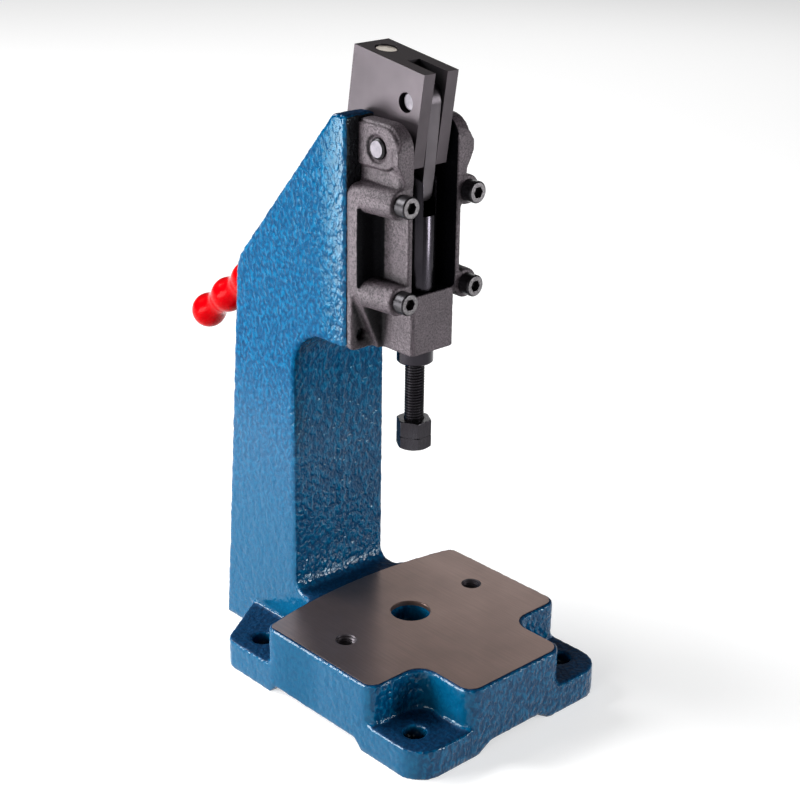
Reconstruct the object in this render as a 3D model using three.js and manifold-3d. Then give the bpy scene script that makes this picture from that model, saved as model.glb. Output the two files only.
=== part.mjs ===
// A bench toggle press: a cast stand with a machined table, a bolted head, and a lever that
// drives a round ram through a link. Millimetres, +Z up, front towards -Y, X to the right.
// Heights are counted from the floor and depths from the ram's axis. The whole press is moved
// at the end, so that its origin lies under the middle of its outline.

import * as THREE from 'three';
import { mergeVertices } from 'three/addons/utils/BufferGeometryUtils.js';
import Module from 'manifold-3d';

// General
const overrun = 5; // how far a cutting body runs past the face that it cuts
const runningGap = 0.3; // radial room of a pin or shank in its hole
const sideGap = 0.5; // room beside a piece that swings between two faces
const seatGap = 0.02; // room between two faces that lie on each other
const roundSides = 32; // sides of pins, screws and their holes
const arcStep = Math.PI / 12; // turn of one chord on a rounded corner
const weld = 1e-4; // corners nearer than this are one corner
const flatTurn = 1e-3; // turns smaller than this stay sharp

// Base of the stand
const baseHalfWidth = 79.8;
const baseFront = -93.6; // depth of the front edge
const footHeight = 20;
const footFrontRadius = 18;
const footBackRadius = 11;
const footBackCorner = 86; // depth of the back feet's outer corners
const footBackMeet = 113; // depth where the slanted back edges meet the column
const footHoleRadius = 7;
const footHoleInset = 17.5; // from the base's sides
const footHoleX = baseHalfWidth - footHoleInset;
const footHoleFrontInset = 22.6;
const footHoleFront = baseFront + footHoleFrontInset;
const footHoleBackInset = 15;
const footHoleBack = footBackCorner - footHoleBackInset;

// Table
const tableHeight = 46.7;
const lobeInset = 39.8; // from the base's sides to the narrow part between the front feet
const tableLobeHalfWidth = baseHalfWidth - lobeInset;
const shoulderGap = 19; // from the front foot holes back to the place where the table widens
const tableShoulder = footHoleFront + shoulderGap;
const tableBackSide = 45; // depth of the back edge at the sides
const tableBackBow = 9.4; // how far the back edge bows out at the middle
const tableBackChords = 12; // chords of the bowed back edge
const tableLobeRadius = 9;
const tableInnerRadius = 12;
const tableShoulderRadius = 8;
const tableBackRadius = 6;
const tableHoleRadius = 12.9;
const tableScrewInset = 26; // from the table's sides to the two threaded holes
const tableScrewX = baseHalfWidth - tableScrewInset;
const tableScrewRadius = 4.6;
const tableScrewChamfer = 2;
const tableScrewDepth = 28;

// Relief under the base, between the feet
const reliefHeight = 6;
const reliefSlope = 5; // width of the slanted ends
const reliefInset = 10; // from the table's narrow part and its shoulders
const reliefBackInset = 2;
const reliefHalfWidth = tableLobeHalfWidth - reliefInset;
const reliefFront = tableShoulder + reliefInset;
const reliefBack = tableBackSide - reliefBackInset;

// Heights of the head and of the main pivot
const headBottom = 225.6;
const pivotRise = 120.8; // from the head's lower end to the main pivot
const pivotHeight = headBottom + pivotRise;

// Lever block: places are counted from its front face and its top face
const leverLean = THREE.MathUtils.degToRad(8.7);
const blockHalfWidth = 13;
const pivotDepth = 4.3; // main pivot, from the ram's axis
const pivotFromFront = 15;
const pivotFromTop = 45.2;
const blockBelowPivot = 9.2;
const blockLength = pivotFromTop + blockBelowPivot;
const pivotRadius = 5.9;
const pivotRecessMargin = 2.1; // of the round recess at each end of the pivot
const pivotRecessRadius = pivotRadius + pivotRecessMargin;
const pivotRecess = 2;
const linkPinFromFront = 11.8;
const linkPinFromTop = 19.3;
const linkPinRadius = 5.4;
const linkPinRecess = 3;
const pinChamfer = 0.8;

// Link and ram
const linkLength = 51.6;
const linkThickness = 8.4;
const linkTopWall = 5.2; // round each eye
const linkFootWall = 3.8;
const linkTopRadius = linkPinRadius + linkTopWall;
const ramPinRadius = 4;
const linkFootRadius = ramPinRadius + linkFootWall;
const ramRadius = 10.9;
const ramStandOut = 10.1; // how far the ram hangs below the head at rest
const ramFoot = headBottom - ramStandOut;
const ramChamfer = 0.8;
const ramSlotRoom = 1.2; // more than the link's thickness
const ramSlotWidth = linkThickness + ramSlotRoom;
const ramSlotFoot = 6; // room below the link's round foot
const ramSlotDepth = linkFootRadius + ramSlotFoot;
const ramTopFlat = 1; // half width of the flat top of each ear
const ramThreadDepth = 66;
const ramSides = 48;

// Slot in the lever block for the link
const blockSlotRoom = 0.8;
const blockSlotWidth = linkThickness + blockSlotRoom;
const blockSlotEnd = 0.8; // room behind the link's round top
const blockSlotDepth = linkPinFromFront + linkTopRadius + blockSlotEnd;

// Column
const columnHalfWidth = 37.3;
const columnTopRise = 17.2; // above the main pivot
const columnTop = pivotHeight + columnTopRise;
const faceOverhang = 0.4; // how far the head hangs below the face that carries it
const columnFaceBottom = headBottom + faceOverhang;
const columnFront = 19.7; // depth of that face
const throatDepth = 68.4; // depth of the throat's back wall
const throatRadius = 27;
const throatLipRadius = 4;
const columnTopDepth = 11.3; // width of the flat top, from front to back
const columnTopBack = columnFront + columnTopDepth;
const columnKneeReach = 54.1; // from the throat's back wall
const columnKneeDepth = throatDepth + columnKneeReach;
const columnKneeDrop = 106.6; // below the top
const columnKneeHeight = columnTop - columnKneeDrop;
const columnFootReach = 74.4;
const columnFootBack = throatDepth + columnFootReach;
const columnTopRadius = 8;
const columnKneeRadius = 22;
const columnWeb = 10; // wall behind the throat and behind the head
const channelRoom = 2.6; // beside the lever block
const channelHalfWidth = blockHalfWidth + channelRoom;
const channelFloor = 28;
const wideChannelWall = 11.3;
const wideChannelHalfWidth = columnHalfWidth - wideChannelWall;
const wideChannelInset = 23.6; // behind the throat's back wall
const wideChannelFront = throatDepth + wideChannelInset;
const wideChannelTop = 232;
const wideChannelRadius = 12;

// Bridge between table and column
const bridgeDrop = 0.6; // below the table's face
const bridgeHeight = tableHeight - bridgeDrop;
const bridgeFlare = 12.7; // how much wider than the column it is inside the table
const bridgeRoot = columnHalfWidth + bridgeFlare;
const bridgeJoinGap = 5.4;
const bridgeJoin = tableBackSide + bridgeJoinGap; // depth where its sides leave the table
const bridgeRadius = 8;
const bridgeFillet = 8; // round foot of the throat's back wall
const bridgeFilletReach = 12;

// Head
const plateThickness = 4.5; // flange that lies on the column
const plateInset = 0.7;
const plateHalfWidth = columnHalfWidth - plateInset;
const layerThickness = 5.8; // raised frame on the flange
const layerShoulderRadius = 8;
const layerLowRadius = 10;
const plateCornerRadius = 3;
const guideFrontWall = 4.1; // in front of the ram
const headFront = -ramRadius - guideFrontWall; // depth of the front face
const slotRoom = 4; // beside the lever block
const slotHalfWidth = blockHalfWidth + slotRoom;
const guideLength = 36.4; // of the lower block with the guide bore
const slotFloor = headBottom + guideLength;
const slotFloorRadius = 3;
const slotSeatMargin = 2; // of the recess round the top of the guide bore
const slotSeatRadius = ramRadius + slotSeatMargin;
const slotSeatDepth = 2;
const guideSetIn = 0.1;
const guideHalfWidth = slotHalfWidth - guideSetIn;
const guideCornerRadius = 2.6;
const layerLowRise = 1;
const layerLow = slotFloor + layerLowRise; // where the frame's sides turn inwards
const layerFootMargin = 3.6;
const layerFootHalfWidth = guideHalfWidth + layerFootMargin;
const wallThickness = 3.6;
const wallRoot = 4.5; // width of the sloped corner between wall and frame
const cheekThickness = 9;
const cheekDrop = 20.9; // below the main pivot
const cheekBottom = pivotHeight - cheekDrop;
const layerShoulder = cheekBottom; // top corners of the flange and its frame
const cheekFootInset = 1.3; // at the cheek's front foot
const cheekFootThickness = cheekThickness - cheekFootInset;
const cheekFootRise = 6;
const cheekFootTop = cheekBottom + cheekFootRise;
const cheekRise = 15; // above the main pivot
const cheekTop = pivotHeight + cheekRise;
const cheekFrontRadius = 14;
const cheekFootRadius = 3;
const padProud = 2.3; // raised pad round the main pivot
const padDrop = 10.9;
const padBottom = pivotHeight - padDrop;
const padRise = 13.2;
const padTop = pivotHeight + padRise;
const padInset = 2.2;
const padFront = headFront + padInset;
const padRadius = 11.8;
const lugDepth = 5; // thicker front end of each cheek
const lugDrop = 5.9;
const lugBottom = pivotHeight - lugDrop;
const lugRise = 0.6;
const lugTop = pivotHeight + lugRise;
const lugMargin = 3.5;
const lugThickness = cheekThickness + lugMargin;
const lugSlope = 6;
const lugShoulder = lugTop + lugSlope;
const lugRadius = 2;
const hubMargin = 5.1; // of the inner face that guides the lever block sideways
const hubRadius = pivotRadius + hubMargin;
const plateHoleRadius = 3.5; // two open holes at the foot of the flange
const plateHoleInset = 8.1;
const plateHoleX = plateHalfWidth - plateHoleInset;
const plateHoleRise = 8.9;
const plateHoleHeight = headBottom + plateHoleRise;
const openingDrop = 5;
const plateOpeningFloor = cheekBottom - openingDrop; // lower end of the lever block's opening
const webDrop = 0.5;
const channelWebTop = plateOpeningFloor - webDrop; // top of the wall behind the head

// Cap screws of the head
const screwFromSlot = 8.9;
const screwX = slotHalfWidth + screwFromSlot;
const upperScrewDrop = 7.6; // below the cheeks
const lowerScrewDrop = 0.1; // below the slot's floor
const screwHeights = [cheekBottom - upperScrewDrop, slotFloor - lowerScrewDrop];
const bossRadius = 8.7;
const bossSetBack = 0.2;
const bossFront = headFront + bossSetBack; // depth of the bosses' faces
const screwRadius = 4;
const screwHeadRadius = 6.5;
const screwHeadLength = 8;
const screwHeadChamfer = 0.7;
const screwSocketWidth = 6;
const screwSocketDepth = 4;
const screwGrip = 24; // length of thread in the column

// Adjusting bolt and lock nut, M12
const boltRadius = 5.9;
const boltLength = 70;
const hexAcrossFlats = 19;
const boltHeadHeight = 7.8;
const nutHeight = 10;
const boltDrop = 36.7; // from the ram's lower end to the nut at rest
const hexChamfer = 1.1;

// Handle
const rodRadius = 6.5;
const rodFromFront = 45.4; // from the block's front face
const rodBackWall = 6.3; // behind the rod
const blockDepth = rodFromFront + rodRadius + rodBackWall;
const rodBelowTop = 0.6;
const rodSink = 80.4; // from the block's top face to the corner of the bend
const bendRadius = 42;
const gripSlope = THREE.MathUtils.degToRad(37);
const gripReach = 205.1; // from the bend's corner to the centre of the last bulge
const gripPitch = 28.1;
const gripBulges = 4;
const gripRadius = 11.7;
const gripWaist = 8.7;
const gripWall = 5; // solid end of the grip beyond its bore
const gripCollar = 3; // straight collar at the grip's open end
const rodSides = 20;
const rodSteps = 60;
const gripSides = 28;
const bulgeSteps = 10;

// Set screw in the block's back, which holds the rod
const setScrewRadius = 3;
const setScrewFromTop = 27;
const setScrewRecess = 0.5;
const setScrewSocketWidth = 3;
const setScrewSocketDepth = 2.5;
const setScrewSides = 20;

const enamel = new THREE.MeshStandardMaterial({ color: 0x0f5f92, roughness: 0.35, metalness: 0.1 });
const blackIron = new THREE.MeshStandardMaterial({ color: 0x4b4446, roughness: 0.7, metalness: 0.4 });
const blackSteel = new THREE.MeshStandardMaterial({ color: 0x595258, roughness: 0.45, metalness: 0.7 });
const screwSteel = new THREE.MeshStandardMaterial({ color: 0x1d1b1e, roughness: 0.4, metalness: 0.8 });
const brightSteel = new THREE.MeshStandardMaterial({ color: 0xb9aa98, roughness: 0.3, metalness: 0.9 });
const redPlastic = new THREE.MeshStandardMaterial({ color: 0xd60a12, roughness: 0.2, metalness: 0 });

const wasm = await Module();
wasm.setup();

// Turns a closed geometry into a solid that can be joined and cut.
function solid(geometry) {
  const bare = geometry.index ? geometry.toNonIndexed() : geometry.clone();
  bare.deleteAttribute('normal');
  bare.deleteAttribute('uv');
  const merged = mergeVertices(bare, weld);
  const vertProperties = new Float32Array(merged.attributes.position.array);
  const triVerts = new Uint32Array(merged.index.array);
  return new wasm.Manifold(new wasm.Mesh({ numProp: 3, vertProperties, triVerts }));
}

function geometryOf(body) {
  const data = body.getMesh();
  const geometry = new THREE.BufferGeometry();
  geometry.setAttribute('position', new THREE.BufferAttribute(data.vertProperties, 3));
  geometry.setIndex(new THREE.BufferAttribute(data.triVerts, 1));
  geometry.computeVertexNormals();
  return geometry;
}

function join(bodies) {
  return bodies.reduce((whole, body) => whole.add(body));
}

function cut(body, cutters) {
  return cutters.reduce((rest, cutter) => rest.subtract(cutter), body);
}

function piece(name, body, material) {
  const geometry = body.isBufferGeometry ? body : geometryOf(body);
  const mesh = new THREE.Mesh(geometry, material.clone());
  mesh.name = name;
  return mesh;
}

// An outline from corners [a, b, radius]; each corner with a radius becomes an arc.
function outline(corners) {
  const shape = [];
  corners.forEach(([a, b, radius], i) => {
    const corner = new THREE.Vector2(a, b);
    const before = corners[(i + corners.length - 1) % corners.length];
    const after = corners[(i + 1) % corners.length];
    const back = new THREE.Vector2(before[0], before[1]).sub(corner).normalize();
    const ahead = new THREE.Vector2(after[0], after[1]).sub(corner).normalize();
    const half = Math.acos(THREE.MathUtils.clamp(back.dot(ahead), -1, 1)) / 2;
    if (!radius || half > Math.PI / 2 - flatTurn) {
      shape.push(corner);
      return;
    }
    const reach = radius / Math.tan(half);
    const start = corner.clone().addScaledVector(back, reach);
    const middle = back.clone().add(ahead).normalize();
    const centre = corner.clone().addScaledVector(middle, radius / Math.sin(half));
    const turn = Math.PI - 2 * half;
    const side = Math.sign(ahead.cross(back));
    const chords = Math.max(2, Math.ceil(turn / arcStep));
    for (let k = 0; k <= chords; k += 1) {
      const spin = (side * turn * k) / chords;
      shape.push(start.clone().rotateAround(centre, spin));
    }
  });
  return new THREE.Shape(shape);
}

// Extrusions of an outline: drawn in XY and raised along Z, drawn in YZ and run along X,
// or drawn in XZ and run along Y. from and to are the two ends on the third axis.
function raised(shape, from, to) {
  const geometry = new THREE.ExtrudeGeometry(shape, { depth: to - from, bevelEnabled: false });
  geometry.translate(0, 0, from);
  return solid(geometry);
}

function sideways(shape, from, to) {
  const geometry = new THREE.ExtrudeGeometry(shape, { depth: to - from, bevelEnabled: false });
  geometry.translate(0, 0, from);
  geometry.rotateX(Math.PI / 2);
  geometry.rotateZ(Math.PI / 2);
  return solid(geometry);
}

function backwards(shape, from, to) {
  const geometry = new THREE.ExtrudeGeometry(shape, { depth: to - from, bevelEnabled: false });
  geometry.translate(0, 0, -to);
  geometry.rotateX(Math.PI / 2);
  return solid(geometry);
}

function block(xs, ys, zs) {
  const geometry = new THREE.BoxGeometry(xs[1] - xs[0], ys[1] - ys[0], zs[1] - zs[0]);
  geometry.translate((xs[0] + xs[1]) / 2, (ys[0] + ys[1]) / 2, (zs[0] + zs[1]) / 2);
  return solid(geometry);
}

// A body turned about an axis through a point, from [distance along the axis, radius] pairs.
function turned(axis, centre, profile, sides = roundSides) {
  const line = profile.map(([along, radius]) => new THREE.Vector2(radius, along));
  const geometry = new THREE.LatheGeometry(line, sides);
  if (axis === 'x') geometry.rotateZ(-Math.PI / 2);
  if (axis === 'z') geometry.rotateX(Math.PI / 2);
  geometry.translate(centre.x ?? 0, centre.y ?? 0, centre.z ?? 0);
  return solid(geometry);
}

function bar(axis, centre, radius, from, to, sides = roundSides) {
  return turned(axis, centre, [[from, 0], [from, radius], [to, radius], [to, 0]], sides);
}

// A six-sided outline with its corners on the X axis of the sketch.
function hexagon(acrossFlats) {
  const corners = [];
  for (let k = 0; k < 6; k += 1) {
    const angle = (k * Math.PI) / 3;
    const reach = acrossFlats / Math.sqrt(3);
    corners.push([reach * Math.cos(angle), reach * Math.sin(angle), 0]);
  }
  return outline(corners);
}

const mirrored = [-1, 1];

// Places of the linkage at rest, in the plane across the press: x is depth, y is height.
const pivot = new THREE.Vector2(pivotDepth, pivotHeight);
const linkPin = new THREE.Vector2(linkPinFromFront - pivotFromFront, pivotFromTop - linkPinFromTop)
  .rotateAround(new THREE.Vector2(), leverLean)
  .add(pivot);
const ramPinHeight = linkPin.y - Math.sqrt(linkLength ** 2 - linkPin.x ** 2);
const plateFront = columnFront - plateThickness;
const layerFront = plateFront - layerThickness;

// Stand
function tableOutline() {
  const arc = [];
  for (let k = 1; k < tableBackChords; k += 1) {
    const share = 1 - (2 * k) / tableBackChords;
    arc.push([baseHalfWidth * share, tableBackSide + tableBackBow * (1 - share ** 2), 0]);
  }
  return outline([
    [-tableLobeHalfWidth, baseFront, tableLobeRadius],
    [tableLobeHalfWidth, baseFront, tableLobeRadius],
    [tableLobeHalfWidth, tableShoulder, tableInnerRadius],
    [baseHalfWidth, tableShoulder, tableShoulderRadius],
    [baseHalfWidth, tableBackSide, tableBackRadius],
    ...arc,
    [-baseHalfWidth, tableBackSide, tableBackRadius],
    [-baseHalfWidth, tableShoulder, tableShoulderRadius],
    [-tableLobeHalfWidth, tableShoulder, tableInnerRadius],
  ]);
}

function baseBody() {
  const feet = raised(outline([
    [-baseHalfWidth, baseFront, footFrontRadius],
    [baseHalfWidth, baseFront, footFrontRadius],
    [baseHalfWidth, footBackCorner, footBackRadius],
    [columnHalfWidth, footBackMeet, 0],
    [-columnHalfWidth, footBackMeet, 0],
    [-baseHalfWidth, footBackCorner, footBackRadius],
  ]), 0, footHeight);
  const table = raised(tableOutline(), reliefHeight, tableHeight);
  const bridge = raised(outline([
    [-bridgeRoot, tableShoulder, 0],
    [bridgeRoot, tableShoulder, 0],
    [bridgeRoot, bridgeJoin, 0],
    [columnHalfWidth, bridgeJoin, bridgeRadius],
    [columnHalfWidth, throatDepth + overrun, 0],
    [-columnHalfWidth, throatDepth + overrun, 0],
    [-columnHalfWidth, bridgeJoin, bridgeRadius],
    [-bridgeRoot, bridgeJoin, 0],
  ]), reliefHeight, bridgeHeight);
  return join([feet, table, bridge]);
}

function reliefCuts() {
  const across = sideways(outline([
    [reliefFront, -overrun, 0],
    [reliefBack, -overrun, 0],
    [reliefBack, 0, 0],
    [reliefBack - reliefSlope, reliefHeight, 0],
    [reliefFront + reliefSlope, reliefHeight, 0],
    [reliefFront, 0, 0],
  ]), -baseHalfWidth - overrun, baseHalfWidth + overrun);
  const along = backwards(outline([
    [-reliefHalfWidth, -overrun, 0],
    [reliefHalfWidth, -overrun, 0],
    [reliefHalfWidth, 0, 0],
    [reliefHalfWidth - 2 * reliefSlope, reliefHeight, 0],
    [2 * reliefSlope - reliefHalfWidth, reliefHeight, 0],
    [-reliefHalfWidth, 0, 0],
  ]), baseFront - overrun, reliefBack);
  return [across, along];
}

function columnBody() {
  return sideways(outline([
    [columnFront, columnFaceBottom, throatLipRadius],
    [throatDepth, columnFaceBottom, throatRadius],
    [throatDepth, bridgeHeight, bridgeFillet],
    [throatDepth - bridgeFilletReach, bridgeHeight, 0],
    [throatDepth - bridgeFilletReach, 0, 0],
    [columnFootBack, 0, 0],
    [columnKneeDepth, columnKneeHeight, columnKneeRadius],
    [columnTopBack, columnTop, columnTopRadius],
    [columnFront, columnTop, 0],
  ]), -columnHalfWidth, columnHalfWidth);
}

function channelCuts() {
  const webBack = columnFront + columnWeb;
  const rearEnd = columnFootBack + overrun;
  const narrow = sideways(outline([
    [webBack, columnFaceBottom + columnWeb, throatLipRadius],
    [throatDepth + columnWeb, columnFaceBottom + columnWeb, throatRadius + columnWeb],
    [throatDepth + columnWeb, channelFloor, throatLipRadius],
    [rearEnd, channelFloor, 0],
    [rearEnd, columnTop + overrun, 0],
    [webBack, columnTop + overrun, 0],
  ]), -channelHalfWidth, channelHalfWidth);
  const wide = sideways(outline([
    [wideChannelFront, channelFloor, wideChannelRadius],
    [rearEnd, channelFloor, 0],
    [rearEnd, wideChannelTop, 0],
    [wideChannelFront, wideChannelTop, wideChannelRadius],
  ]), -wideChannelHalfWidth, wideChannelHalfWidth);
  const mouth = block(
    [-channelHalfWidth, channelHalfWidth],
    [columnFront - overrun, webBack + overrun],
    [channelWebTop, columnTop + overrun],
  );
  return [narrow, wide, mouth];
}

function baseHoles() {
  const holes = [bar('z', {}, tableHoleRadius, -overrun, tableHeight + overrun, ramSides)];
  mirrored.forEach((side) => {
    [footHoleFront, footHoleBack].forEach((y) => {
      holes.push(bar('z', { x: side * footHoleX, y }, footHoleRadius, -overrun, footHeight + overrun));
    });
    holes.push(turned('z', { x: side * tableScrewX }, [
      [tableHeight - tableScrewDepth, 0],
      [tableHeight - tableScrewDepth, tableScrewRadius],
      [tableHeight - tableScrewChamfer, tableScrewRadius],
      [tableHeight + overrun, tableScrewRadius + tableScrewChamfer + overrun],
      [tableHeight + overrun, 0],
    ]));
  });
  return holes;
}

function columnHoles() {
  const ends = [columnFront - overrun, columnFront + screwGrip + overrun];
  return mirrored.flatMap((side) => screwHeights.map(
    (z) => bar('y', { x: side * screwX, z }, screwRadius + runningGap, ...ends),
  ));
}

// The room of one foot at a corner of the base: side is left or right, end is front or back.
function footZone(side, end, room = 0) {
  const [inner, ys] = end === 'front'
    ? [tableLobeHalfWidth, [baseFront - overrun, tableShoulder + room]]
    : [columnHalfWidth + seatGap, [tableBackSide - room, footBackMeet + overrun]];
  const xs = [inner - room, baseHalfWidth + overrun].map((x) => side * x).sort((a, b) => a - b);
  return block(xs, ys, [-overrun, footHeight + room]);
}

// The stand is one casting. It is kept as a table, four feet and a column, which meet on flat
// faces a seat gap apart.
function standPieces() {
  const base = cut(baseBody(), [...reliefCuts(), ...baseHoles()]);
  const corners = mirrored.flatMap((side) => ['front', 'back'].map((end) => ({ side, end })));
  const feet = corners.map(({ side, end }) => {
    const name = `foot_${end}_${side < 0 ? 'left' : 'right'}`;
    return piece(name, base.intersect(footZone(side, end)), enamel);
  });
  const columnRoom = block(
    [-columnHalfWidth - seatGap, columnHalfWidth + seatGap],
    [throatDepth - bridgeFilletReach - seatGap, columnFootBack + overrun],
    [-overrun, tableHeight + overrun],
  );
  const rooms = corners.map(({ side, end }) => footZone(side, end, seatGap));
  return [
    piece('stand_table', cut(base, [...rooms, columnRoom]), enamel),
    ...feet,
    piece('stand_column', cut(columnBody(), [...channelCuts(), ...columnHoles()]), enamel),
  ];
}

// Head
function headPlates() {
  const plate = backwards(outline([
    [-plateHalfWidth, headBottom, plateCornerRadius],
    [plateHalfWidth, headBottom, plateCornerRadius],
    [plateHalfWidth, layerShoulder, layerShoulderRadius],
    [-plateHalfWidth, layerShoulder, layerShoulderRadius],
  ]), plateFront, columnFront - seatGap);
  const layer = backwards(outline([
    [-layerFootHalfWidth, headBottom, 0],
    [layerFootHalfWidth, headBottom, 0],
    [columnHalfWidth, layerLow, layerLowRadius],
    [columnHalfWidth, layerShoulder, layerShoulderRadius],
    [-columnHalfWidth, layerShoulder, layerShoulderRadius],
    [-columnHalfWidth, layerLow, layerLowRadius],
  ]), layerFront, plateFront + plateThickness / 2);
  return [plate, layer];
}

function headSide(side) {
  const spans = (inner, outer) => [side * inner, side * outer].sort((a, b) => a - b);
  const wall = block(
    spans(slotHalfWidth, slotHalfWidth + wallThickness),
    [bossFront, plateFront + plateThickness / 2],
    [slotFloor - slotSeatDepth, cheekBottom + overrun],
  );
  const rear = columnFront - seatGap;
  const profile = sideways(outline([
    [headFront, cheekBottom, cheekFootRadius],
    [rear, cheekBottom, 0],
    [rear, cheekTop, 0],
    [headFront, cheekTop, cheekFrontRadius],
  ]), ...spans(slotHalfWidth, columnHalfWidth));
  const lugFace = outline([
    [side * slotHalfWidth, cheekBottom, 0],
    [side * (slotHalfWidth + cheekFootThickness), cheekBottom, 0],
    [side * (slotHalfWidth + cheekFootThickness), cheekFootTop, lugRadius],
    [side * (slotHalfWidth + lugThickness), lugBottom, lugRadius],
    [side * (slotHalfWidth + lugThickness), lugTop, lugRadius],
    [side * (slotHalfWidth + cheekThickness), lugShoulder, lugRadius],
    [side * (slotHalfWidth + cheekThickness), cheekTop, 0],
    [side * slotHalfWidth, cheekTop, 0],
  ]);
  const lug = backwards(lugFace, headFront, headFront + lugDepth);
  const web = block(
    spans(slotHalfWidth, slotHalfWidth + cheekThickness),
    [headFront + lugDepth / 2, rear],
    [cheekBottom, cheekTop],
  );
  const cheek = lug.add(web).intersect(profile);
  const pad = sideways(outline([
    [padFront, padBottom, padRadius],
    [rear, padBottom, 0],
    [rear, padTop, 0],
    [padFront, padTop, padRadius],
  ]), ...spans(slotHalfWidth + cheekThickness / 2, slotHalfWidth + cheekThickness + padProud));
  const root = raised(outline([
    [side * slotHalfWidth, layerFront - wallRoot, 0],
    [side * (slotHalfWidth + wallThickness), layerFront - wallRoot, 0],
    [side * (slotHalfWidth + wallThickness + wallRoot), layerFront, 0],
    [side * (slotHalfWidth + wallThickness + wallRoot), plateFront, 0],
    [side * slotHalfWidth, plateFront, 0],
  ]), slotFloor - slotSeatDepth, cheekBottom + overrun);
  const hubEnds = spans(blockHalfWidth + sideGap, slotHalfWidth + wallThickness / 2);
  const hub = bar('x', { y: pivot.x, z: pivot.y }, hubRadius, ...hubEnds);
  const bosses = screwHeights.flatMap((z) => screwBoss(side, z));
  return [wall, root, cheek, pad, hub, ...bosses];
}

// A boss under a cap screw, and its sloped side, which leans out to the flange's edge.
function screwBoss(side, z) {
  const rear = plateFront + plateThickness / 2;
  const straight = bar('y', { x: side * screwX, z }, bossRadius, bossFront, rear);
  const line = [
    new THREE.Vector2(0, bossFront),
    new THREE.Vector2(bossRadius, bossFront),
    new THREE.Vector2(bossRadius, layerFront),
    new THREE.Vector2(0, layerFront),
  ];
  const geometry = new THREE.LatheGeometry(line, roundSides);
  const lean = (columnHalfWidth - bossRadius - screwX) / (layerFront - bossFront);
  const shear = new THREE.Matrix4().makeShear(0, 0, side * lean, 0, 0, 0);
  geometry.translate(0, -bossFront, 0);
  geometry.applyMatrix4(shear);
  geometry.translate(side * screwX, bossFront, z);
  return [straight, solid(geometry)];
}

function headCuts() {
  const slot = backwards(outline([
    [-slotHalfWidth, slotFloor, slotFloorRadius],
    [slotHalfWidth, slotFloor, slotFloorRadius],
    [slotHalfWidth, cheekTop + overrun, 0],
    [-slotHalfWidth, cheekTop + overrun, 0],
  ]), headFront - overrun, plateFront);
  const opening = block(
    [-channelHalfWidth, channelHalfWidth],
    [plateFront - overrun, columnFront + overrun],
    [plateOpeningFloor, columnTop + overrun],
  );
  const guide = bar('z', {}, ramRadius + runningGap, headBottom - overrun, slotFloor + overrun, ramSides);
  const seat = bar('z', {}, slotSeatRadius, slotFloor - slotSeatDepth, slotFloor + overrun, ramSides);
  return [slot, opening, guide, seat];
}

function headHoles(side) {
  const outer = slotHalfWidth + cheekThickness + padProud;
  const pinPlace = { y: pivot.x, z: pivot.y };
  const pinHole = bar('x', pinPlace, pivotRadius + seatGap, -outer - overrun, outer + overrun);
  const ends = [outer - pivotRecess, outer + overrun].map((end) => side * end).sort((a, b) => a - b);
  const recess = bar('x', pinPlace, pivotRecessRadius, ...ends);
  const spare = bar(
    'y',
    { x: side * plateHoleX, z: plateHoleHeight },
    plateHoleRadius,
    layerFront - overrun,
    columnFront + overrun,
  );
  const screws = screwHeights.map((z) => bar(
    'y',
    { x: side * screwX, z },
    screwRadius + runningGap,
    headFront - overrun,
    columnFront + overrun,
  ));
  return [pinHole, recess, spare, ...screws];
}

function headCasting() {
  const guideBlock = raised(outline([
    [-guideHalfWidth, headFront, guideCornerRadius],
    [guideHalfWidth, headFront, guideCornerRadius],
    [guideHalfWidth, plateFront + plateThickness / 2, 0],
    [-guideHalfWidth, plateFront + plateThickness / 2, 0],
  ]), headBottom, slotFloor + overrun);
  const lower = cut(join([...headPlates(), guideBlock]), headCuts());
  const sides = join(mirrored.flatMap(headSide));
  const seat = bar('z', {}, slotSeatRadius, slotFloor - slotSeatDepth, slotFloor + overrun, ramSides);
  const whole = cut(sides, [seat]).add(lower);
  return piece('head_casting', cut(whole, mirrored.flatMap(headHoles)), blackIron);
}

// One cap screw; its axis runs backwards into the column.
function headScrew(number, x, z) {
  const headBack = bossFront - seatGap;
  const headTop = headBack - screwHeadLength;
  const tip = columnFront + screwGrip;
  const body = turned('y', { x, z }, [
    [headTop, 0],
    [headTop, screwHeadRadius - screwHeadChamfer],
    [headTop + screwHeadChamfer, screwHeadRadius],
    [headBack, screwHeadRadius],
    [headBack, screwRadius],
    [tip - screwHeadChamfer, screwRadius],
    [tip, screwRadius - screwHeadChamfer],
    [tip, 0],
  ]);
  const socket = backwards(hexagon(screwSocketWidth), headTop - overrun, headTop + screwSocketDepth);
  return piece(`head_screw_${number}`, body.subtract(socket.translate(x, 0, z)), screwSteel);
}

function headScrews() {
  const pieces = [];
  screwHeights.forEach((z) => {
    mirrored.forEach((side) => {
      pieces.push(headScrew(pieces.length + 1, side * screwX, z));
    });
  });
  return pieces;
}

// A pin on the X axis through a place of the linkage, with both ends chamfered.
function crossPin(name, place, radius, from, to) {
  return piece(name, turned('x', { y: place.x, z: place.y }, [
    [from, 0],
    [from, radius - pinChamfer],
    [from + pinChamfer, radius],
    [to - pinChamfer, radius],
    [to, radius - pinChamfer],
    [to, 0],
  ]), blackSteel);
}

function pivotPins() {
  const outer = slotHalfWidth + cheekThickness + padProud;
  const inner = blockSlotWidth / 2 + seatGap;
  return [
    crossPin('pivot_pin_left', pivot, pivotRadius, -outer, -inner),
    crossPin('pivot_pin_right', pivot, pivotRadius, inner, outer),
  ];
}

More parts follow.
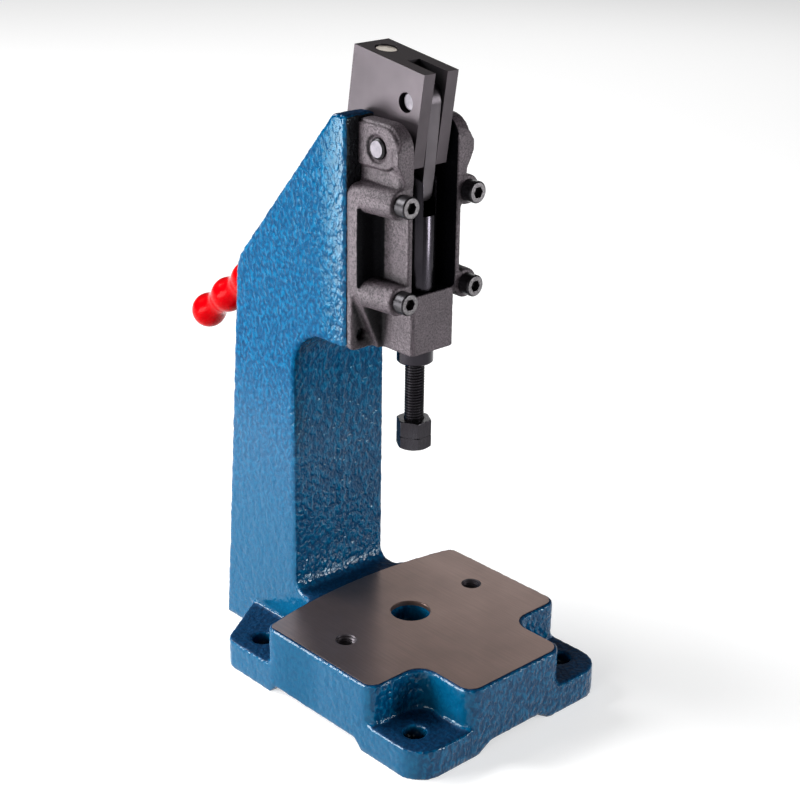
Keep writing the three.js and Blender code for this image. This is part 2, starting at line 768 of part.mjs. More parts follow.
// Lever: the block is drawn upright with the main pivot at the middle and then leaned back.
function leverBlock() {
  const front = -pivotFromFront;
  const top = pivotFromTop;
  const body = block(
    [-blockHalfWidth, blockHalfWidth],
    [front, front + blockDepth],
    [top - blockLength, top],
  );
  const slot = block(
    [-blockSlotWidth / 2, blockSlotWidth / 2],
    [front - overrun, front + blockSlotDepth],
    [top - blockLength - overrun, top + overrun],
  );
  const reach = blockHalfWidth + overrun;
  const pivotBore = bar('x', {}, pivotRadius + runningGap, -reach, reach);
  const pinPlace = { y: linkPinFromFront - pivotFromFront, z: pivotFromTop - linkPinFromTop };
  const pinBore = bar('x', pinPlace, linkPinRadius + runningGap, -reach, reach);
  const rodPlace = { y: rodFromFront - pivotFromFront };
  const rodBore = bar('z', rodPlace, rodRadius + runningGap, top - blockLength - overrun, top + overrun);
  const screwPlace = { z: top - setScrewFromTop };
  const back = front + blockDepth + overrun;
  const screwHole = bar('y', screwPlace, setScrewRadius + runningGap, rodPlace.y, back, setScrewSides);
  const drilled = cut(body, [slot, pivotBore, pinBore, rodBore, screwHole]);
  const mesh = piece('lever_block', drilled, blackSteel);
  const leaned = new THREE.Group();
  leaned.position.set(0, pivot.x, pivot.y);
  leaned.rotation.x = leverLean;
  leaned.add(mesh, rodSetScrew(rodPlace.y + rodRadius + runningGap, front + blockDepth - setScrewRecess));
  return leaned;
}

// The set screw that holds the rod, from its point to its socket.
function rodSetScrew(point, end) {
  const height = pivotFromTop - setScrewFromTop;
  const body = bar('y', { z: height }, setScrewRadius, point, end, setScrewSides);
  const socket = backwards(hexagon(setScrewSocketWidth), end - setScrewSocketDepth, end + overrun);
  return piece('rod_set_screw', body.subtract(socket.translate(0, 0, height)), screwSteel);
}

// The handle's places in the plane across the press.
const blockDown = new THREE.Vector2(Math.sin(leverLean), -Math.cos(leverLean));
const gripDown = new THREE.Vector2(Math.cos(gripSlope), -Math.sin(gripSlope));
const rodTop = new THREE.Vector2(rodFromFront - pivotFromFront, pivotFromTop)
  .rotateAround(new THREE.Vector2(), leverLean)
  .add(pivot);
const bendCorner = rodTop.clone().addScaledVector(blockDown, rodSink);
const gripEnd = bendCorner.clone().addScaledVector(gripDown, gripReach);
const gripLength = (gripBulges - 1) * gripPitch + gripRadius + gripPitch / 2 + gripCollar;
const across = (place) => new THREE.Vector3(0, place.x, place.y);

function handleRod() {
  const bend = Math.PI / 2 - leverLean - gripSlope;
  const reach = bendRadius * Math.tan(bend / 2);
  const bendStart = bendCorner.clone().addScaledVector(blockDown, -reach);
  const bendStop = bendCorner.clone().addScaledVector(gripDown, reach);
  const pull = (4 / 3) * bendRadius * Math.tan(bend / 4); // handle of a curve that follows the arc
  const stop = gripEnd.clone().addScaledVector(gripDown, gripRadius - gripWall - runningGap);
  const path = new THREE.CurvePath();
  path.add(new THREE.LineCurve3(
    across(rodTop.clone().addScaledVector(blockDown, rodBelowTop)),
    across(bendStart),
  ));
  path.add(new THREE.CubicBezierCurve3(
    across(bendStart),
    across(bendStart.clone().addScaledVector(blockDown, pull)),
    across(bendStop.clone().addScaledVector(gripDown, -pull)),
    across(bendStop),
  ));
  path.add(new THREE.LineCurve3(across(bendStop), across(stop)));
  const section = [];
  for (let k = 0; k < rodSides; k += 1) {
    const angle = (2 * Math.PI * k) / rodSides;
    section.push(new THREE.Vector2(rodRadius * Math.cos(angle), rodRadius * Math.sin(angle)));
  }
  const run = { steps: rodSteps, extrudePath: path };
  const geometry = new THREE.ExtrudeGeometry(new THREE.Shape(section), run);
  return piece('handle_rod', solid(geometry), brightSteel);
}

// The grip is turned about its own axis, from its round end to its open end, and then laid
// along the rod. Its outline swells and narrows evenly, once for each bulge.
function handleGrip() {
  const profile = [];
  const middle = (gripRadius + gripWaist) / 2;
  const swell = (gripRadius - gripWaist) / 2;
  for (let k = 0; k < bulgeSteps / 2; k += 1) {
    const angle = (Math.PI * k) / bulgeSteps;
    profile.push([-gripRadius * Math.cos(angle), gripRadius * Math.sin(angle)]);
  }
  const wave = (gripBulges - 1) * gripPitch + gripPitch / 2;
  const steps = Math.round((wave / gripPitch) * bulgeSteps);
  for (let k = 0; k <= steps; k += 1) {
    const along = (wave * k) / steps;
    profile.push([along, middle + swell * Math.cos((2 * Math.PI * along) / gripPitch)]);
  }
  profile.push([wave + gripCollar, gripWaist]);
  profile.push([wave + gripCollar, rodRadius + runningGap]);
  profile.push([gripWall - gripRadius, rodRadius + runningGap]);
  profile.push([gripWall - gripRadius, 0]);
  const line = profile.map(([along, radius]) => new THREE.Vector2(radius, along));
  const mesh = piece('handle_grip', solid(new THREE.LatheGeometry(line, gripSides)), redPlastic);
  mesh.position.copy(across(gripEnd));
  mesh.rotation.x = Math.PI - gripSlope;
  return mesh;
}

// Link between two round ends with an eye in each.
function link() {
  const foot = new THREE.Vector2(0, ramPinHeight);
  const along = foot.clone().sub(linkPin).normalize();
  const square = new THREE.Vector2(along.y, -along.x);
  const half = linkThickness / 2;
  const lean = Math.asin((linkTopRadius - linkFootRadius) / linkLength);
  const edge = [];
  mirrored.forEach((side) => {
    const normal = square.clone().multiplyScalar(side).rotateAround(new THREE.Vector2(), side * lean);
    const pair = [
      linkPin.clone().addScaledVector(normal, linkTopRadius),
      foot.clone().addScaledVector(normal, linkFootRadius),
    ];
    edge.push(...(side > 0 ? pair.reverse() : pair));
  });
  const shank = sideways(outline(edge.map((place) => [place.x, place.y, 0])), -half, half);
  const topPlace = { y: linkPin.x, z: linkPin.y };
  const footPlace = { y: foot.x, z: foot.y };
  const top = bar('x', topPlace, linkTopRadius, -half, half);
  const end = bar('x', footPlace, linkFootRadius, -half, half);
  const reach = half + overrun;
  const topEye = bar('x', topPlace, linkPinRadius + runningGap, -reach, reach);
  const footEye = bar('x', footPlace, ramPinRadius + runningGap, -reach, reach);
  return piece('link', cut(join([shank, top, end]), [topEye, footEye]), blackSteel);
}

// Ram with its fork, and the two ends of the pin in it.
function ram() {
  const top = ramPinHeight + ramRadius;
  const body = turned('z', {}, [
    [ramFoot, 0],
    [ramFoot, ramRadius - ramChamfer],
    [ramFoot + ramChamfer, ramRadius],
    [top, ramRadius],
    [top, 0],
  ], ramSides);
  const rounding = sideways(outline([
    [-ramRadius - overrun, ramFoot - overrun, 0],
    [ramRadius + overrun, ramFoot - overrun, 0],
    [ramRadius + overrun, ramPinHeight, 0],
    [ramRadius, ramPinHeight, 0],
    [ramRadius, top, ramRadius - ramTopFlat],
    [-ramRadius, top, ramRadius - ramTopFlat],
    [-ramRadius, ramPinHeight, 0],
    [-ramRadius - overrun, ramPinHeight, 0],
  ]), -ramRadius - overrun, ramRadius + overrun);
  const slot = block(
    [-ramSlotWidth / 2, ramSlotWidth / 2],
    [-ramRadius - overrun, ramRadius + overrun],
    [ramPinHeight - ramSlotDepth, top + overrun],
  );
  const thread = bar('z', {}, boltRadius + runningGap, ramFoot - overrun, ramFoot + ramThreadDepth);
  const reach = ramRadius + overrun;
  const pinHole = bar('x', { z: ramPinHeight }, ramPinRadius + seatGap, -reach, reach);
  return piece('ram', cut(body.intersect(rounding), [slot, thread, pinHole]), blackSteel);
}

function ramPins() {
  const inner = ramSlotWidth / 2;
  const outer = Math.sqrt(ramRadius ** 2 - ramPinRadius ** 2) - seatGap;
  const place = new THREE.Vector2(0, ramPinHeight);
  return [
    crossPin('ram_pin_left', place, ramPinRadius, -outer, -inner),
    crossPin('ram_pin_right', place, ramPinRadius, inner, outer),
  ];
}

// A hexagon whose corners are taken down by a cone at the ends named in ends.
function chamferedHexagon(from, to, ends) {
  const corner = hexAcrossFlats / Math.sqrt(3);
  const body = raised(hexagon(hexAcrossFlats), from, to);
  const round = turned('z', {}, [
    [from, 0],
    [from, ends.includes('low') ? corner - hexChamfer : corner],
    [from + hexChamfer / 2, corner],
    [to - hexChamfer / 2, corner],
    [to, ends.includes('high') ? corner - hexChamfer : corner],
    [to, 0],
  ], ramSides);
  return body.intersect(round);
}

function adjustingScrew() {
  const nutTop = ramFoot - boltDrop;
  const nutFoot = nutTop - nutHeight;
  const headTop = nutFoot - seatGap;
  const headFoot = headTop - boltHeadHeight;
  const bore = bar('z', {}, boltRadius + runningGap, nutFoot - overrun, nutTop + overrun);
  const nut = chamferedHexagon(nutFoot, nutTop, ['low', 'high']).subtract(bore);
  const shank = turned('z', {}, [
    [headTop - overrun, 0],
    [headTop - overrun, boltRadius],
    [headTop + boltLength - pinChamfer, boltRadius],
    [headTop + boltLength, boltRadius - pinChamfer],
    [headTop + boltLength, 0],
  ]);
  const head = chamferedHexagon(headFoot, headTop, ['low']);
  return [
    piece('lock_nut', nut, screwSteel),
    piece('adjusting_bolt', head.add(shank), screwSteel),
  ];
}

function linkPinMesh() {
  const outer = blockHalfWidth - linkPinRecess;
  return crossPin('link_pin', linkPin, linkPinRadius, -outer, outer);
}

const press = new THREE.Group();
press.add(...standPieces(), headCasting(), ...headScrews(), ...pivotPins());
press.add(leverBlock(), linkPinMesh(), handleRod(), handleGrip());
press.add(link(), ram(), ...ramPins(), ...adjustingScrew());

// The origin goes to the floor under the middle of the whole outline.
press.updateMatrixWorld(true);
const middle = new THREE.Box3().setFromObject(press, true).getCenter(new THREE.Vector3());
press.position.set(0, -middle.y, 0);

export default press;
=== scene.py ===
import math

import bmesh
import bpy
from mathutils import Matrix, Vector, noise


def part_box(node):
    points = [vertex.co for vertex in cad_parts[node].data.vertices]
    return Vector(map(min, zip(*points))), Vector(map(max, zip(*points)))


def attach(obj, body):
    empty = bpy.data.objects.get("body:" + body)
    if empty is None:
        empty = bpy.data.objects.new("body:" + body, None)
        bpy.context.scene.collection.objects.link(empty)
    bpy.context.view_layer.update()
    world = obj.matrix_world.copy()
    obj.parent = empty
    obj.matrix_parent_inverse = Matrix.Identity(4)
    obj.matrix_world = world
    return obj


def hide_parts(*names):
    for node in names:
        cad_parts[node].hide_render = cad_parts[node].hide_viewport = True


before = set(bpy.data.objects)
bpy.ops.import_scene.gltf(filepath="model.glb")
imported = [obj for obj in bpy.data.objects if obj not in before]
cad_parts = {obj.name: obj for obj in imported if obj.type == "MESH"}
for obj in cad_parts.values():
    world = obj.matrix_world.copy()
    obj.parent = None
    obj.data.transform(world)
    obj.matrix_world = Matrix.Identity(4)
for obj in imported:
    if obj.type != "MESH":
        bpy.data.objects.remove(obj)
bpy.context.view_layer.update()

MM = 0.001

# Places are given in millimetres: x to the right, y from the ram's axis, z from the floor.
ram_low, ram_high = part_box("ram")
RAM_Y = (ram_low[1] + ram_high[1]) / 2


def at(x, y, z):
    """A place given in millimetres from the ram's axis, in the frame's metres."""
    return Vector((x * MM, RAM_Y + y * MM, z * MM))


# ---------------------------------------------------------------- meshes
def add_object(name, mesh):
    obj = bpy.data.objects.new(name, mesh)
    bpy.context.scene.collection.objects.link(obj)
    return obj


def dress(obj, body, slot, material, *nodes):
    """Gives a piece its body and its material, and hides the CAD nodes that it stands for; the slot is
    not used.
    """
    obj.data.materials.clear()
    obj.data.materials.append(material)
    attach(obj, body)
    if nodes:
        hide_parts(*nodes)
    return obj


def bake(obj):
    """Applies the modifiers of an object to its mesh."""
    graph = bpy.context.evaluated_depsgraph_get()
    graph.update()
    mesh = bpy.data.meshes.new_from_object(obj.evaluated_get(graph))
    obj.modifiers.clear()
    obj.data = mesh
    mesh.name = obj.name


def smooth(obj, angle=35):
    for polygon in obj.data.polygons:
        polygon.use_smooth = True
    if angle < 180:
        obj.data.set_sharp_from_angle(angle=math.radians(angle))


def node_copy(name, *nodes):
    """A new object with the shape of CAD nodes, welded and with their flat faces whole."""
    mesh = bpy.data.meshes.new(name)
    bm = bmesh.new()
    for node in nodes:
        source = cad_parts[node]
        copy = source.data.copy()
        copy.transform(source.matrix_world)
        bm.from_mesh(copy)
        bpy.data.meshes.remove(copy)
    bmesh.ops.remove_doubles(bm, verts=bm.verts, dist=2e-6)
    bmesh.ops.dissolve_limit(bm, angle_limit=math.radians(0.5), verts=bm.verts, edges=bm.edges)
    bm.to_mesh(mesh)
    bm.free()
    return add_object(name, mesh)


def machined(node, name, width, flat=True):
    """A CAD node's shape with its sharp edges broken and, if wanted, its flat faces kept flat."""
    obj = node_copy(name, node)
    bevel = obj.modifiers.new("edges", "BEVEL")
    bevel.width = width * MM
    bevel.segments = 2
    bevel.limit_method = "ANGLE"
    bevel.angle_limit = math.radians(38)
    bake(obj)
    smooth(obj, 30)
    if flat:
        level = obj.modifiers.new("level", "WEIGHTED_NORMAL")
        level.keep_sharp = True
        bake(obj)
    return obj


SEAT_FILL = 0.06  # closes the seat gaps between the nodes of one casting


def casting(name, voxel, passes, *nodes):
    """The shape of CAD nodes as one casting, with its round edges and fillets."""
    obj = node_copy(name, *nodes)
    if len(nodes) > 1:
        swell = obj.modifiers.new("swell", "DISPLACE")
        swell.strength = SEAT_FILL * MM
        swell.mid_level = 0
    remesh = obj.modifiers.new("grid", "REMESH")
    remesh.mode = "VOXEL"
    remesh.voxel_size = voxel * MM
    soften = obj.modifiers.new("soften", "SMOOTH")
    soften.factor = 0.5
    soften.iterations = passes
    bake(obj)
    smooth(obj, 180)
    return obj


def ripple(obj, size, depth, keep=None):
    """Moves the skin in and out, as the sand of a mould leaves it."""
    mesh = obj.data
    normals = [Vector(v.normal) for v in mesh.vertices]
    for vertex, normal in zip(mesh.vertices, normals):
        if keep and keep(vertex.co):
            continue
        swing = noise.noise(vertex.co / (size * MM))
        vertex.co += normal * (swing * depth * MM)
    mesh.update()


def mesh_object(name, verts, faces):
    mesh = bpy.data.meshes.new(name)
    mesh.from_pydata([tuple(v) for v in verts], [], faces)
    mesh.validate()
    bm = bmesh.new()
    bm.from_mesh(mesh)
    bmesh.ops.remove_doubles(bm, verts=bm.verts, dist=1e-7)
    bmesh.ops.recalc_face_normals(bm, faces=bm.faces)
    bm.to_mesh(mesh)
    bm.free()
    return add_object(name, mesh)


def turned(name, origin, axis, profile, sides=64, angle=35):
    """A turned piece: profile holds (distance along the axis, radius) in millimetres."""
    along = Vector(axis).normalized()
    across = along.orthogonal().normalized()
    third = along.cross(across)
    verts = []
    faces = []
    for k in range(sides):
        turn = 2 * math.pi * k / sides
        out = across * math.cos(turn) + third * math.sin(turn)
        for distance, radius in profile:
            verts.append(origin + along * (distance * MM) + out * (radius * MM))
    count = len(profile)
    for k in range(sides):
        here = k * count
        ahead = (k + 1) % sides * count
        for j in range(count - 1):
            faces.append((here + j, here + j + 1, ahead + j + 1, ahead + j))
    obj = mesh_object(name, verts, faces)
    smooth(obj, angle)
    return obj


def swept(name, points, radius, sides=40):
    """A round bar along points, with its ends closed and their edges broken."""
    edge = 0.7  # how far the ends are taken down
    verts = []
    faces = []
    rows = []
    side = Vector((1, 0, 0))
    first = (points[1] - points[0]).normalized()
    last = (points[-1] - points[-2]).normalized()
    stations = [(points[0], first, radius - edge)]
    stations.append((points[0] + first * (edge * MM), first, radius))
    for before, here, after in zip(points, points[1:], points[2:]):
        stations.append((here, (after - before).normalized(), radius))
    stations.append((points[-1] - last * (edge * MM), last, radius))
    stations.append((points[-1], last, radius - edge))
    for place, along, size in stations:
        up = side.cross(along).normalized()
        row = []
        for k in range(sides):
            turn = 2 * math.pi * k / sides
            row.append(len(verts))
            verts.append(place + (side * math.cos(turn) + up * math.sin(turn)) * (size * MM))
        rows.append(row)
    for low, high in zip(rows, rows[1:]):
        for k in range(sides):
            faces.append((low[k], low[(k + 1) % sides], high[(k + 1) % sides], high[k]))
    faces.append(tuple(reversed(rows[0])))
    faces.append(tuple(rows[-1]))
    obj = mesh_object(name, verts, faces)
    smooth(obj, 30)
    return obj


# ---------------------------------------------------------------- materials
class Shader:
    """A node material; every call adds one node and returns it."""

    def __init__(self, name):
        self.material = bpy.data.materials.new(name)
        self.material.use_nodes = True
        self.nodes = self.material.node_tree.nodes
        self.links = self.material.node_tree.links
        self.surface = self.nodes["Principled BSDF"]
        self.place = self.nodes.new("ShaderNodeTexCoord")

    def link(self, start, end):
        self.links.new(start, end)

    def feed(self, name, output):
        """Links an output to an input of the surface's shader."""
        self.link(output, self.surface.inputs[name])

    def set(self, **values):
        for name, value in values.items():
            self.surface.inputs[name.replace("_", " ")].default_value = value

    def stretched(self, scale):
        mapping = self.nodes.new("ShaderNodeMapping")
        mapping.inputs["Scale"].default_value = scale
        self.link(self.place.outputs["Object"], mapping.inputs["Vector"])
        return mapping.outputs["Vector"]

    def noise(self, scale, detail=3, roughness=0.55, distortion=0, vector=None):
        node = self.nodes.new("ShaderNodeTexNoise")
        node.inputs["Scale"].default_value = scale
        node.inputs["Detail"].default_value = detail
        node.inputs["Roughness"].default_value = roughness
        node.inputs["Distortion"].default_value = distortion
        self.link(vector or self.place.outputs["Object"], node.inputs["Vector"])
        return node.outputs["Fac"]

    def ramp(self, fac, stops):
        node = self.nodes.new("ShaderNodeValToRGB")
        ramp = node.color_ramp
        while len(ramp.elements) < len(stops):
            ramp.elements.new(0.5)
        for element, (position, colour) in zip(ramp.elements, stops):
            element.position = position
            element.color = (*colour, 1)
        self.link(fac, node.inputs["Fac"])
        return node.outputs["Color"]

    def range(self, fac, low, high, start=0.3, stop=0.7):
        node = self.nodes.new("ShaderNodeMapRange")
        node.inputs["From Min"].default_value = start
        node.inputs["From Max"].default_value = stop
        node.inputs["To Min"].default_value = low
        node.inputs["To Max"].default_value = high
        self.link(fac, node.inputs["Value"])
        return node.outputs["Result"]

    def mix(self, fac, a, b):
        node = self.nodes.new("ShaderNodeMix")
        node.data_type = "RGBA"
        self.link(fac, node.inputs["Factor"])
        sockets = [s for s in node.inputs if s.type == "RGBA"]
        for socket, value in zip(sockets, (a, b)):
            if isinstance(value, tuple):
                socket.default_value = (*value, 1)
            else:
                self.link(value, socket)
        return [s for s in node.outputs if s.type == "RGBA"][0]

    def bump(self, height, strength, distance, normal=None):
        node = self.nodes.new("ShaderNodeBump")
        node.inputs["Strength"].default_value = strength
        node.inputs["Distance"].default_value = distance * MM
        self.link(height, node.inputs["Height"])
        if normal:
            self.link(normal, node.inputs["Normal"])
        return node.outputs["Normal"]

    def combine(self, operation, *values):
        """The result of a math node on outputs and numbers."""
        node = self.nodes.new("ShaderNodeMath")
        node.operation = operation
        for socket, value in zip(node.inputs, values):
            if isinstance(value, (int, float)):
                socket.default_value = value
            else:
                self.link(value, socket)
        return node.outputs[0]

    def times(self, a, b):
        return self.combine("MULTIPLY", a, b)

    def part(self, axis, of="Object"):
        """A place's part on an axis, or a normal's: 0 is x, 1 is y and 2 is z."""
        split = self.nodes.new("ShaderNodeSeparateXYZ")
        self.link(self.place.outputs[of], split.inputs["Vector"])
        return split.outputs[axis]

    def slab(self, axis, low, high, inside=None):
        """1 between two places on an axis, in metres, times inside."""
        place = self.part(axis)
        above = self.combine("GREATER_THAN", place, low)
        between = self.times(above, self.combine("LESS_THAN", place, high))
        return self.times(between, inside) if inside else between

    def facing(self, axis, start, stop, both=False):
        """1 where the surface faces along an axis, or both ways."""
        turn = self.part(axis, "Normal")
        if both:
            turn = self.combine("ABSOLUTE", turn)
        return self.range(turn, 0, 1, start, stop)

    def openness(self, reach, start, stop):
        """0 deep in corners and pockets within a reach in millimetres, 1 on open faces."""
        node = self.nodes.new("ShaderNodeAmbientOcclusion")
        node.samples = 8  # rays for each point
        node.only_local = True
        node.inputs["Distance"].default_value = reach * MM
        return self.range(node.outputs["AO"], 0, 1, start, stop)


def grey(value):
    return (value, value, value)


LOW_BAND = (0.08, 0.20)  # heights in metres between which the paler low band ends; its paler colour is painted reflection of the floor


def enamel_material():
    """Thick glossy enamel over rough iron. Its colour holds painted shade and highlight that follow the
    peel, painted shade in corners and on faces that look up, and painted reflection of the floor where it
    is paler and smoother low on the left; it is nearly black on the column's front face behind the head.
    """
    s = Shader("blue_enamel")
    big = s.noise(60, 2)
    peel = s.noise(400, 1.5, 0.45, 0.4, s.stretched((1.0, 1.0, 0.75)))
    # Colour that follows the peel's height: painted shade in its pits and painted highlight on its
    # ridges.
    body = s.ramp(peel, [
        (0.36, (0.000, 0.029, 0.084)),
        (0.50, (0.000, 0.047, 0.122)),
        (0.64, (0.000, 0.090, 0.200)),
    ])
    height = s.range(s.part(2), 0, 1, *LOW_BAND)
    low_side = s.times(s.range(s.part(2), 1, 0, *LOW_BAND), s.facing(0, -0.5, -0.9))
    plain = s.ramp(big, [(0.3, (0.000, 0.040, 0.108)), (0.7, (0.000, 0.051, 0.130))])
    paint = s.mix(s.range(big, 0.6, 1.0), plain, body)
    # Low on the left the paint is paler and smoother: painted reflection of the floor.
    low_painted_reflection = s.ramp(peel, [(0.3, (0.000, 0.050, 0.118)), (0.7, (0.001, 0.066, 0.142))])
    paint = s.mix(low_side, paint, low_painted_reflection)
    upward = s.facing(2, 0.70, 0.90)
    # Painted shade: nearly black in corners and narrow hollows.
    paint = s.mix(s.openness(16, 0.30, 0.86), (0.000, 0.014, 0.036), paint)
    # Faces that look up get a darker ramp: painted shade on the tops.
    top = s.ramp(peel, [(0.36, (0.000, 0.014, 0.044)), (0.64, (0.000, 0.027, 0.076))])
    paint = s.mix(upward, paint, top)
    # Nearly black on the column's front face behind the head.
    seat = s.slab(1, RAM_Y + 19.2 * MM, RAM_Y + 20.1 * MM, s.slab(2, 0.228, 0.37))
    s.feed("Base Color", s.mix(seat, paint, (0.012, 0.012, 0.014)))
    gloss = s.ramp(peel, [(0.3, grey(0.15)), (0.7, grey(0.10))])
    s.feed("Roughness", s.mix(upward, gloss, grey(0.60)))
    crown = s.range(s.part(1), 0, 1, RAM_Y - 7 * MM, RAM_Y + 45 * MM)
    crown.node.interpolation_type = "SMOOTHSTEP"
    normal = s.bump(crown, 1.0, 9)
    relief = s.times(peel, s.range(low_side, 1.0, 0.5, 0, 1))
    relief = s.times(relief, s.range(s.facing(1, -0.5, -0.9), 1.0, 1.7, 0, 1))
    s.feed("Normal", s.bump(relief, 1.0, 0.66, normal))
    deeper = s.range(s.times(crown, height), 0, 1, 0.5, 1.0)
    level = s.mix(deeper, grey(0.26), grey(0.09))
    s.feed("Specular IOR Level", s.mix(upward, level, grey(0.10)))
    tint = s.mix(deeper, (0.75, 0.95, 1.0), (0.22, 0.78, 1.0))
    s.feed("Specular Tint", s.mix(s.facing(2, 0.25, 0.60), tint, grey(1)))
    return s.material


def table_material():
    """Milled iron gone brown, with faint cutter lines."""
    s = Shader("milled_table")
    lines = s.noise(900, 2, 0.6, 0, s.stretched((1.0, 0.03, 1.0)))
    patch = s.noise(16, 3, 0.6)
    fine = s.noise(2600, 2, 0.6)
    tone = s.ramp(patch, [(0.35, (0.225, 0.154, 0.134)), (0.68, (0.300, 0.205, 0.178))])
    s.feed("Base Color", s.mix(s.range(lines, 0, 0.35), tone, (0.150, 0.112, 0.099)))
    s.feed("Roughness", s.range(patch, 0.36, 0.30))
    normal = s.bump(lines, 0.22, 0.12)
    s.feed("Normal", s.bump(fine, 0.12, 0.05, normal))
    s.set(Metallic=0.9)
    return s.material


def iron_material():
    """Sand-cast iron under thin black paint, with painted shade in its corners and pockets, and the
    head's slot and side pocket painted nearly black as shade.
    """
    s = Shader("black_iron")
    cloud = s.noise(70, 3, 0.6)
    grain = s.noise(950, 1.5, 0.6)
    sand = s.noise(380, 1, 0.5)
    tone = s.ramp(cloud, [(0.3, (0.055, 0.043, 0.051)), (0.7, (0.088, 0.069, 0.081))])
    specks = s.mix(s.range(grain, 0, 0.72, 0.42, 0.66), tone, (0.014, 0.012, 0.014))
    # Painted shade: nearly black in corners and deep pockets, darkest on their faces that look forward.
    corners = s.mix(s.openness(7, 0.44, 0.92), (0.006, 0.005, 0.006), specks)
    deep = s.mix(s.openness(34, 0.25, 0.52), (0.003, 0.003, 0.004), corners)
    forward_painted_shade = s.mix(s.openness(34, 0.62, 0.93), (0.002, 0.002, 0.003), corners)
    # Painted shade: the inside of the head's slot is painted nearly black.
    slot = s.slab(1, RAM_Y - 14.2 * MM, RAM_Y + 19 * MM, s.slab(2, SLOT_FLOOR * MM, 1))
    slot = s.slab(0, -SLOT_HALF * MM, SLOT_HALF * MM, slot)
    outside = s.mix(s.facing(1, -0.12, -0.5), deep, forward_painted_shade)
    # Painted shade: the faces of the side pocket that look forward are painted nearly black.
    pocket = s.slab(2, 0.266, 0.313, s.facing(1, -0.2, -0.5))
    pocket = s.slab(1, RAM_Y + 2 * MM, RAM_Y + 19 * MM, pocket)
    outside = s.mix(pocket, outside, (0.004, 0.004, 0.005))
    s.feed("Base Color", s.mix(slot, outside, (0.002, 0.002, 0.003)))
    # Where shade is painted in the slot and pocket, gloss and metal are taken away so that it stays dark.
    dull = s.combine("MAXIMUM", slot, pocket)
    s.feed("Specular IOR Level", s.range(dull, 0.35, 0.03, 0, 1))
    s.feed("Metallic", s.range(dull, 0.20, 0.0, 0, 1))
    s.feed("Roughness", s.range(grain, 0.46, 0.66))
    normal = s.bump(sand, 0.6, 0.5)
    s.feed("Normal", s.bump(grain, 0.8, 0.35, normal))
    return s.material


def block_material():
    """Ground sides gone brown, and dull faces across the top that are painted black as shade, with
    painted shade in its holes and slot.
    """
    s = Shader("block_steel")
    lines = s.noise(1500, 3, 0.6, 0, s.stretched((1, 1, 0.06)))
    cloud = s.noise(55, 2, 0.5)
    top = s.facing(2, 0.80, 0.95)
    side = s.ramp(cloud, [(0.3, (0.038, 0.030, 0.036)), (0.7, (0.054, 0.043, 0.051))])
    # Faces across the top are darker: painted shade.
    outside = s.mix(top, side, (0.032, 0.027, 0.029))
    # Painted shade: nearly black in the holes and slot.
    s.feed("Base Color", s.mix(s.openness(22, 0.50, 0.85), (0.003, 0.003, 0.004), outside))
    s.feed("Roughness", s.range(top, 0.42, 0.66, 0, 1))
    s.feed("Specular IOR Level", s.range(top, 0.50, 0.10, 0, 1))
    s.feed("Metallic", s.range(top, 0.50, 0.10, 0, 1))
    s.feed("Normal", s.bump(lines, 0.12, 0.06))
    return s.material


def steel_material(name, low, high, roughness, metallic, grain=1.0, direction=(1, 1, 0.06)):
    """Machined steel between two colours, with fine lines along a direction."""
    s = Shader(name)
    lines = s.noise(1500, 3, 0.6, 0, s.stretched(direction))
    cloud = s.noise(55, 2, 0.5)
    s.feed("Base Color", s.ramp(cloud, [(0.3, low), (0.7, high)]))
    s.feed("Roughness", s.range(lines, roughness - 0.06, roughness + 0.08))
    s.feed("Normal", s.bump(lines, 0.12 * grain, 0.06))
    s.set(Metallic=metallic)
    return s.material


def pin_material():
    """Pins across the linkage: ground ends, with their sides and edges painted black as shade in the
    groove round them.
    """
    s = Shader("pin_steel")
    cloud = s.noise(260, 3, 0.6)
    end = s.facing(0, 0.90, 0.98, True)
    bright = s.ramp(cloud, [(0.3, (0.08, 0.074, 0.086)), (0.7, (0.15, 0.138, 0.158))])
    # Painted shade: all but the flat ends is nearly black, for the groove round the pin.
    s.feed("Base Color", s.mix(end, (0.010, 0.009, 0.011), bright))
    s.feed("Roughness", s.range(cloud, 0.34, 0.46))
    s.feed("Normal", s.bump(cloud, 0.15, 0.06))
    s.set(Metallic=0.55)
    return s.material


def screw_material():
    """Black oxide, worn bright on the faces that look forward, which are also painted lighter as a
    highlight.
    """
    s = Shader("black_screws")
    wear = s.noise(900, 3, 0.6)
    # Faces that look forward are lighter: wear, and a painted highlight.
    front = s.facing(1, -0.93, -0.99)
    black = s.ramp(wear, [(0.3, (0.012, 0.011, 0.013)), (0.7, (0.028, 0.026, 0.030))])
    bright = s.ramp(wear, [(0.3, (0.06, 0.056, 0.06)), (0.7, (0.15, 0.142, 0.148))])
    s.feed("Base Color", s.mix(front, black, bright))
    s.feed("Roughness", s.range(wear, 0.30, 0.42))
    s.feed("Normal", s.bump(wear, 0.2, 0.06))
    s.set(Metallic=0.75)
    return s.material


def plastic_material():
    """Glossy red plastic, slightly uneven as it came from the mould."""
    s = Shader("red_plastic")
    cloud = s.noise(30, 2)
    wave = s.noise(180, 2)
    s.feed("Base Color", s.ramp(cloud, [(0.3, (0.30, 0.0, 0.001)), (0.7, (0.36, 0.0, 0.002))]))
    s.feed("Roughness", s.range(wave, 0.13, 0.20))
    s.feed("Normal", s.bump(wave, 0.08, 0.15))
    s.set(Specular_IOR_Level=0.06, Specular_Tint=(1.0, 0.20, 0.20, 1))
    return s.material


FLOOR_GREY = 0.6
FLOOR_GLOW = 0.55  # seen by the camera and in reflections only, so that it doesn't light the press


